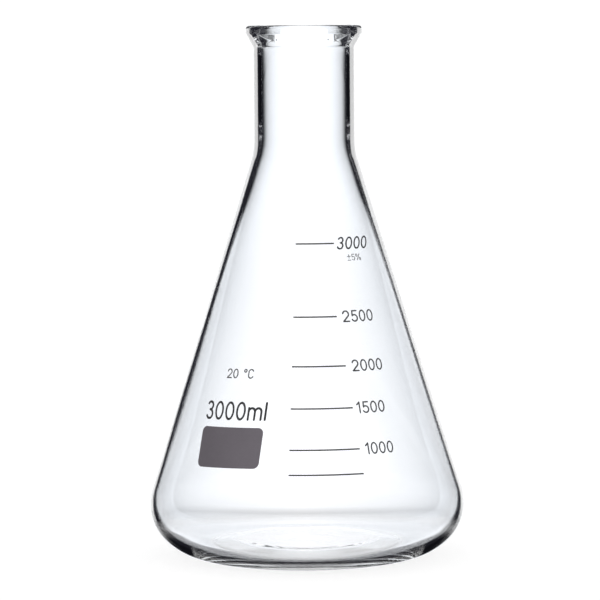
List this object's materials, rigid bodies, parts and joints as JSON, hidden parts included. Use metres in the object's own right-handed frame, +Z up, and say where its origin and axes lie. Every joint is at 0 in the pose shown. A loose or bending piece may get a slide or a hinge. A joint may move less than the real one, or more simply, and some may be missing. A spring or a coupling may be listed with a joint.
{
  "type": "erlenmeyer flask",
  "caption": "Narrow-neck conical glass laboratory flask with a beaded rim, a printed volume scale and a writing patch.",
  "frame": {"origin": "centre of the foot ring, on the plane that the flask stands on", "axes": "+Z up along the flask's axis to the mouth; -Y is the front, with the scale; +X is to the right seen from the front"},
  "size_m": [0.187, 0.187, 0.3145],
  "materials": {
    "clear_glass": "fire-polished, clear, colourless",
    "fired_enamel": "satin dark grey enamel, fired on"
  },
  "bodies": {
    "root": {"capacity_mark": "fired_enamel", "glass_body": "clear_glass", "line_1000": "fired_enamel", "line_1500": "fired_enamel", "line_2000": "fired_enamel", "line_2500": "fired_enamel", "line_3000": "fired_enamel", "line_lowest": "fired_enamel", "marking_spot": "fired_enamel", "numerals_1000": "fired_enamel", "numerals_1500": "fired_enamel", "numerals_2000": "fired_enamel", "numerals_2500": "fired_enamel", "numerals_3000": "fired_enamel", "temperature_mark": "fired_enamel", "tolerance_mark": "fired_enamel"}
  },
  "joints": []
}
